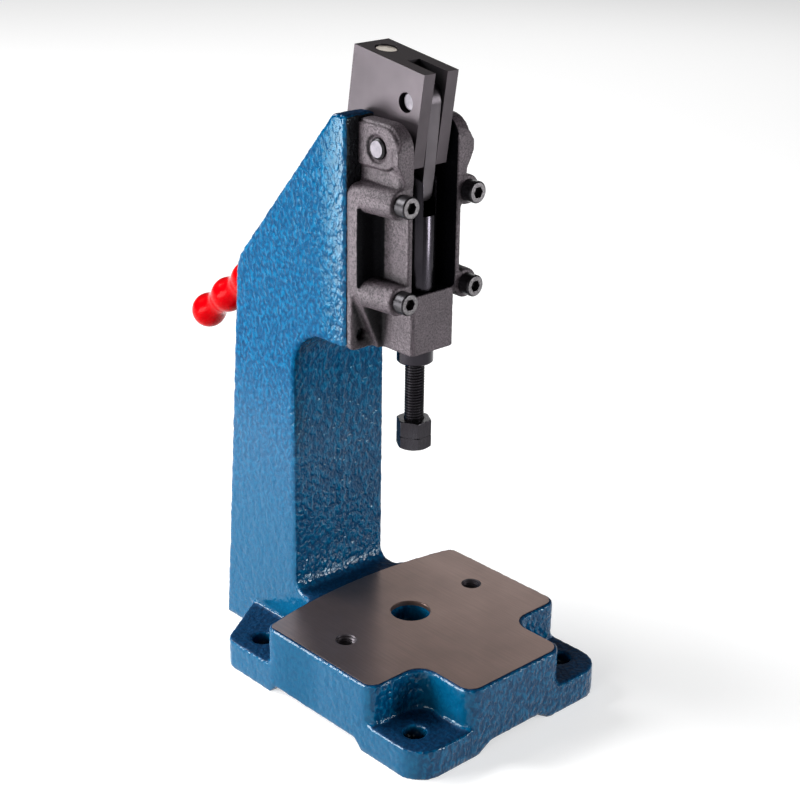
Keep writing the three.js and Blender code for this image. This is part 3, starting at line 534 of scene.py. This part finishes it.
def floor_material():
    """A plain pale floor."""
    s = Shader("pale_floor")
    s.set(Base_Color=(*grey(FLOOR_GREY), 1), Emission_Color=(*grey(FLOOR_GLOW), 1))
    s.set(Roughness=0.9, Specular_IOR_Level=0.1)
    path = s.nodes.new("ShaderNodeLightPath")
    seen = path.outputs["Is Camera Ray"]
    for kind in ("Is Glossy Ray", "Is Transmission Ray"):
        seen = s.combine("MAXIMUM", seen, path.outputs[kind])
    s.feed("Emission Strength", seen)
    return s.material


SLOT_HALF = 17.6  # half the width of the head's slot
SLOT_FLOOR = 261.4  # height of its floor
enamel = enamel_material()
milled = table_material()
iron = iron_material()
block_steel = block_material()
pin_steel = pin_material()
link_steel = steel_material("link_steel", (0.056, 0.049, 0.056), (0.083, 0.074, 0.082), 0.36, 0.75)
ram_steel = steel_material("ram_steel", (0.024, 0.022, 0.027), (0.034, 0.031, 0.037), 0.21, 1.0)
bolt_steel = steel_material("bolt_steel", (0.020, 0.018, 0.022), (0.033, 0.031, 0.036), 0.27, 0.9)
rod_steel = steel_material(
    "rod_steel", (0.86, 0.76, 0.64), (0.94, 0.85, 0.74), 0.34, 1.0, 0.02, (0.2, 0.2, 0.02)
)
screw_black = screw_material()
red = plastic_material()

# ---------------------------------------------------------------- stand
TABLE_Z = 46.7
COLUMN_X = 37.3  # half the column's width
THROAT_Y = 68.4  # the throat's back wall
THROAT_LOW = 56
THROAT_HIGH = 206
DIP = 1.3  # how far the back wall sinks towards its middle
SEAM = 0.45  # step of the parting line down the back wall
HALF = 79.8  # half the table's width
TABLE_BACK = 45.0
BOW = 9.4  # how far the table's back edge swells
TONGUE_HALF = 40  # half the width of the table's front part
TONGUE_FRONT = -93.6
SHOULDER = -52  # where the front part meets the wide part
HOLE_X = 53.8  # of the two threaded holes
THREAD_WALL = 6.6  # radius to which the casting is cleared round them
THREAD_PITCH = 1.75

STAND_NODES = ["stand_table", "stand_column"]
STAND_NODES += [f"foot_{end}_{side}" for end in ("front", "back") for side in ("left", "right")]
stand = casting("stand", 1.3, 7, *STAND_NODES)


def on_throat(co):
    """How much a place belongs to the flat back wall of the throat."""
    x = co.x / MM
    y = (co.y - RAM_Y) / MM
    z = co.z / MM
    if abs(y - THROAT_Y) > 2.5 or abs(x) > COLUMN_X - 2:
        return 0
    rise = min(max((z - THROAT_LOW) / 12, 0), 1)
    fall = min(max((THROAT_HIGH - z) / 14, 0), 1)
    return rise * fall


for vertex in stand.data.vertices:
    share = on_throat(vertex.co)
    if share:
        x = vertex.co.x / MM
        dip = DIP * max(0, 1 - abs(x - 1) / 36)
        seam = SEAM if 0 < x < 5 else 0
        vertex.co.y += (dip - seam) * share * MM
stand.data.update()
ripple(stand, 3.2, 0.30)
for vertex in stand.data.vertices:
    if vertex.co.y < RAM_Y + 56 * MM and vertex.co.z < 52 * MM:
        vertex.co.z = min(vertex.co.z, 46.3 * MM)
    axis = at(math.copysign(HOLE_X, vertex.co.x), 0, vertex.co.z / MM)
    out = vertex.co - axis
    if 0 < out.length < THREAD_WALL * MM:
        vertex.co = axis + out.normalized() * (THREAD_WALL * MM)
dress(stand, "stand", "blue_enamel", enamel, *STAND_NODES)


ARC_STEPS = 8


def rounded(corners):
    """The outline of corners (x, y, radius), with an arc at each corner that has one."""
    points = []
    count = len(corners)
    for i, (x, y, radius) in enumerate(corners):
        corner = Vector((x, y))
        back = (Vector(corners[i - 1][:2]) - corner).normalized()
        ahead = (Vector(corners[(i + 1) % count][:2]) - corner).normalized()
        half = math.acos(max(-1, min(1, back.dot(ahead)))) / 2
        if not radius or half > math.pi / 2 - 0.001:
            points.append(corner)
            continue
        reach = radius / math.tan(half)
        centre = corner + (back + ahead).normalized() * (radius / math.sin(half))
        start = corner + back * reach - centre
        turn = (math.pi - 2 * half) * (1 if back.x * ahead.y - back.y * ahead.x < 0 else -1)
        for k in range(ARC_STEPS + 1):
            spin = Matrix.Rotation(turn * k / ARC_STEPS, 2)
            points.append(centre + spin @ start)
    return points


def plate(name, outer, holes, low, high):
    """A flat plate between two heights, with round holes given as (x, y, radius)."""
    curve = bpy.data.curves.new(name, "CURVE")
    curve.dimensions = "2D"
    curve.fill_mode = "BOTH"
    curve.extrude = (high - low) / 2 * MM
    rings = [outer]
    for x, y, radius in holes:
        ring = []
        for k in range(64):
            turn = 2 * math.pi * k / 64
            ring.append(Vector((x + radius * math.cos(turn), y + radius * math.sin(turn))))
        rings.append(ring)
    for ring in rings:
        spline = curve.splines.new("POLY")
        spline.points.add(len(ring) - 1)
        spline.use_cyclic_u = True
        for point, place in zip(spline.points, ring):
            point.co = (place.x * MM, place.y * MM, 0, 1)
    carrier = bpy.data.objects.new(name + "_curve", curve)
    bpy.context.scene.collection.objects.link(carrier)
    graph = bpy.context.evaluated_depsgraph_get()
    graph.update()
    mesh = bpy.data.meshes.new_from_object(carrier.evaluated_get(graph))
    mesh.name = name
    bpy.data.objects.remove(carrier)
    mesh.transform(Matrix.Translation(at(0, 0, (low + high) / 2)))
    obj = add_object(name, mesh)
    smooth(obj, 30)
    return obj


RIM = 1.8  # how far the milled face ends inside the painted edge
corners = [(-TONGUE_HALF + RIM, TONGUE_FRONT + RIM, 8), (TONGUE_HALF - RIM, TONGUE_FRONT + RIM, 8)]
corners += [(TONGUE_HALF - RIM, SHOULDER + RIM, 13)]
corners += [(HALF - RIM, SHOULDER + RIM, 7), (HALF - RIM, TABLE_BACK - RIM, 7)]
for k in range(1, 16):
    share = 1 - 2 * k / 16
    corners.append(((HALF - RIM) * share, TABLE_BACK - RIM + BOW * (1 - share ** 2), 0))
corners += [(RIM - HALF, TABLE_BACK - RIM, 3), (RIM - HALF, SHOULDER + RIM, 7)]
corners += [(RIM - TONGUE_HALF, SHOULDER + RIM, 13)]
top = plate(
    "table_face",
    rounded(corners),
    [(0, 0, 12.75), (-HOLE_X, 0, 6.5), (HOLE_X, 0, 6.5)],
    TABLE_Z - 0.9,
    TABLE_Z,
)
dress(top, "stand", "blue_enamel", milled)
profile = [(43.5, 12.6), (46.0, 12.6), (46.69, 13.2), (46.69, 14), (43.5, 13.6), (43.5, 12.6)]
bore = turned("table_bore", at(0, 0, 0), (0, 0, 1), profile)
dress(bore, "stand", "blue_enamel", milled)
for name, side in (("left", -1), ("right", 1)):
    profile = [(21, 5.2)]
    for k in range(14):
        profile += [(21.5 + THREAD_PITCH * k, 5.2), (22.4 + THREAD_PITCH * k, 6.0)]
    profile += [(46.0, 5.9), (46.68, 6.45), (46.68, 7.2), (21, 7.2), (21, 5.2)]
    thread_hole = turned(f"table_thread_{name}", at(side * HOLE_X, 0, 0), (0, 0, 1), profile)
    dress(thread_hole, "stand", "blue_enamel", link_steel)

# ---------------------------------------------------------------- head
head = casting("head", 0.75, 6, "head_casting")
ripple(head, 2.2, 0.16)
dress(head, "stand", "black_iron", iron, "head_casting")

for number in (1, 2, 3, 4):
    screw = machined(f"head_screw_{number}", f"cap_screw_{number}", 0.25)
    dress(screw, "stand", "black_screws", screw_black, f"head_screw_{number}")


def cross_pin(node, name, edge):
    """A pin along x in place of a CAD node, with its ends taken down by an edge."""
    low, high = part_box(node)
    reach = (high[0] - low[0]) / MM
    radius = (high[2] - low[2]) / 2 / MM
    start = Vector((low[0], (low[1] + high[1]) / 2, (low[2] + high[2]) / 2))
    profile = [(0, 0), (0, radius - edge), (0.8 * edge, radius)]
    profile += [(reach - 0.8 * edge, radius), (reach, radius - edge), (reach, 0)]
    return turned(name, start, (1, 0, 0), profile, 64, 25)


for side in ("left", "right"):
    pin = cross_pin(f"pivot_pin_{side}", f"pivot_stub_{side}", 1.1)
    dress(pin, "stand", "black_steel", pin_steel, f"pivot_pin_{side}")
    pin = cross_pin(f"ram_pin_{side}", f"ram_stub_{side}", 0.5)
    dress(pin, "ram", "black_steel", pin_steel, f"ram_pin_{side}")

# ---------------------------------------------------------------- lever
dress(machined("lever_block", "block", 0.35), "lever", "black_steel", block_steel, "lever_block")
dress(cross_pin("link_pin", "block_pin", 1.0), "lever", "black_steel", pin_steel, "link_pin")
dress(machined("rod_set_screw", "set_screw", 0.15), "lever", "black_screws", bolt_steel, "rod_set_screw")
dress(machined("link", "toggle_link", 0.35), "link", "black_steel", link_steel, "link")
dress(machined("ram", "plunger", 0.3, False), "ram", "black_steel", ram_steel, "ram")

LEAN = math.radians(8.7)  # of the rod in the block, from the upright
SLOPE = math.radians(37)  # of the grip, below the level
BEND_RADIUS = 42
ROD_RADIUS = 6.5
GRIP_REACH = 205.1  # from the bend's corner to the centre of the last bulge
down = Vector((0, math.sin(LEAN), -math.cos(LEAN)))
out = Vector((0, math.cos(SLOPE), -math.sin(SLOPE)))
lean = Matrix.Rotation(LEAN, 3, "X")
rod_top = at(0, 4.3, 346.4) + lean @ Vector((0, 30.4 * MM, 45.2 * MM))
corner = rod_top + down * (80.4 * MM)
bend = math.pi / 2 - LEAN - SLOPE
reach = BEND_RADIUS * math.tan(bend / 2)
start = corner - down * (reach * MM)
side_way = (out - down * out.dot(down)).normalized()
centre = start + side_way * (BEND_RADIUS * MM)
path = [rod_top + down * (0.6 * MM)]
for k in range(13):
    turn = bend * k / 12
    spin = -side_way * math.cos(turn) + down * math.sin(turn)
    path.append(centre + spin * (BEND_RADIUS * MM))
grip_end = corner + out * (GRIP_REACH * MM)
path.append(grip_end + out * (6 * MM))
dress(swept("rod", path, ROD_RADIUS), "lever", "bright_steel", rod_steel, "handle_rod")

GRIP_PITCH = 28.1  # from bulge to bulge
BULGE = 11.7
WAIST = 8.7
middle = (BULGE + WAIST) / 2
swing = (BULGE - WAIST) / 2
profile = []
for k in range(12):
    turn = math.pi * k / 24
    profile.append((BULGE * math.cos(turn), BULGE * math.sin(turn)))
wave = GRIP_PITCH * 3.5
for k in range(85):
    along = wave * k / 84
    profile.append((-along, middle + swing * math.cos(2 * math.pi * along / GRIP_PITCH)))
profile += [(-wave - 2.4, WAIST), (-wave - 3, WAIST - 0.6), (-wave - 3, 6.7), (5, 6.7), (5, 0)]
grip = turned("grip", grip_end, out, profile, 72, 50)
dress(grip, "lever", "red_plastic", red, "handle_grip")

# ---------------------------------------------------------------- adjusting bolt
dress(machined("lock_nut", "nut", 0.25), "lock_nut", "black_screws", bolt_steel, "lock_nut")


def bolt_thread(name, low, high, radius, pitch):
    """The screw thread as one band that climbs by a pitch in each turn, on a closed core."""
    sides = 56
    depth = 0.61 * pitch
    turns = int((high - low) / pitch)
    levels = ((0.0, radius - depth), (0.40, radius), (0.56, radius), (0.92, radius - depth))
    verts = []
    faces = []
    rows = turns * sides
    for k in range(rows + sides + 1):
        turn = 2 * math.pi * k / sides
        for share, size in levels:
            height = low + pitch * (k / sides + share)
            verts.append(at(size * math.cos(turn), size * math.sin(turn), height))
    count = len(levels)
    for k in range(rows):
        here = k * count
        ahead = here + count
        for j in range(count - 1):
            faces.append((here + j, ahead + j, ahead + j + 1, here + j + 1))
        above = (k + sides) * count
        faces.append((here + count - 1, ahead + count - 1, above + count, above))
    obj = mesh_object(name, verts, faces)
    smooth(obj, 40)
    return obj


shank = bolt_thread("bolt_thread", 170, 236, 5.9, THREAD_PITCH)
dress(shank, "adjusting_bolt", "black_screws", bolt_steel)
profile = [(168.5, 0), (168.5, 4.9), (238.3, 4.9), (238.8, 4.4), (238.8, 0)]
core = turned("bolt_core", at(0, 0, 0), (0, 0, 1), profile, 48)
dress(core, "adjusting_bolt", "black_screws", bolt_steel)


def hexagon_head(name, low, high, flats):
    """A bolt head: six sides with their corners taken down by a cone at the outer face."""
    verts = []
    faces = []
    sides = 96
    rings = []
    cone = math.tan(math.radians(30))
    for level in range(3):
        ring = []
        for k in range(sides):
            turn = 2 * math.pi * k / sides
            hexed = flats / 2 / math.cos((turn % (math.pi / 3)) - math.pi / 6)
            chamfer = (hexed - flats / 2 * 0.97) * cone
            size = (flats / 2 * 0.97, hexed, hexed)[level]
            height = (low, low + max(chamfer, 0.1), high)[level]
            ring.append(len(verts))
            verts.append(at(size * math.cos(turn), size * math.sin(turn), height))
        rings.append(ring)
    for under, over in zip(rings, rings[1:]):
        for k in range(sides):
            faces.append((under[k], under[(k + 1) % sides], over[(k + 1) % sides], over[k]))
    faces.append(tuple(reversed(rings[0])))
    faces.append(tuple(rings[-1]))
    obj = mesh_object(name, verts, faces)
    smooth(obj, 25)
    return obj


bolt_head = hexagon_head("bolt_head", 160.98, 168.78, 19)
dress(bolt_head, "adjusting_bolt", "black_screws", bolt_steel, "adjusting_bolt")


# ---------------------------------------------------------------- floor, light and camera
def flat_square(name, size, height):
    half = size / 2
    verts = [(-half, -half, height), (half, -half, height), (half, half, height), (-half, half, height)]
    return mesh_object(name, verts, [(0, 1, 2, 3)])


floor = flat_square("floor", 30, 0)
floor.data.materials.append(floor_material())


def softbox(name, place, target, width, height, power):
    light = bpy.data.lights.new(name, "AREA")
    light.shape = "RECTANGLE"
    light.size = width
    light.size_y = height
    light.energy = power
    obj = bpy.data.objects.new(name, light)
    obj.location = place
    aim = Vector(target) - Vector(place)
    obj.rotation_euler = aim.to_track_quat("-Z", "Y").to_euler()
    bpy.context.scene.collection.objects.link(obj)


# Name, place and target, width and height, all in metres, and power in watts.
softbox("key", (-0.76, 0.30, 0.20), (-0.04, 0.0, 0.2), 0.42, 0.38, 12.5)
softbox("left", (-2.1, -0.7, 0.8), (0, 0, 0.2), 0.9, 0.9, 14)
softbox("right_front", (1.05, -1.8, 0.46), (0, 0, 0.24), 0.36, 0.8, 34)
softbox("back_right", (1.95, 1.42, 1.0), (0, 0, 0.1), 1.1, 0.6, 4.8)
softbox("edges", (-0.95, 1.65, 1.6), (0, 0, 0.1), 1.1, 1.0, 78)

world = bpy.data.worlds.new("studio")
world.use_nodes = True
world.node_tree.nodes["Background"].inputs["Color"].default_value = (1, 1, 1, 1)
world.node_tree.nodes["Background"].inputs["Strength"].default_value = 0.07
bpy.context.scene.world = world

# The camera as fitted to the photo, with its place in millimetres and its lens for a 36 mm sensor.
AZIMUTH = math.radians(-42.917)
ELEVATION = math.radians(22.477)
ROLL = math.radians(0.797)
CAMERA_PLACE = (-639.89, -675.72, 575.07)
LENS = 75.92
back = Vector((
    math.sin(AZIMUTH) * math.cos(ELEVATION),
    -math.cos(AZIMUTH) * math.cos(ELEVATION),
    math.sin(ELEVATION),
))
level_right = Vector((math.cos(AZIMUTH), math.sin(AZIMUTH), 0))
level_up = back.cross(level_right)
right = level_right * math.cos(ROLL) + level_up * math.sin(ROLL)
up = level_up * math.cos(ROLL) - level_right * math.sin(ROLL)
camera_data = bpy.data.cameras.new("camera")
camera_data.lens = LENS
camera_data.sensor_width = 36
camera_data.clip_start = 0.05
camera_data.clip_end = 60
camera = bpy.data.objects.new("camera", camera_data)
turn = Matrix((right, up, back)).transposed().to_4x4()
camera.matrix_world = Matrix.Translation(at(*CAMERA_PLACE)) @ turn
bpy.context.scene.collection.objects.link(camera)
bpy.context.scene.camera = camera

bpy.context.scene.view_settings.view_transform = "Standard"
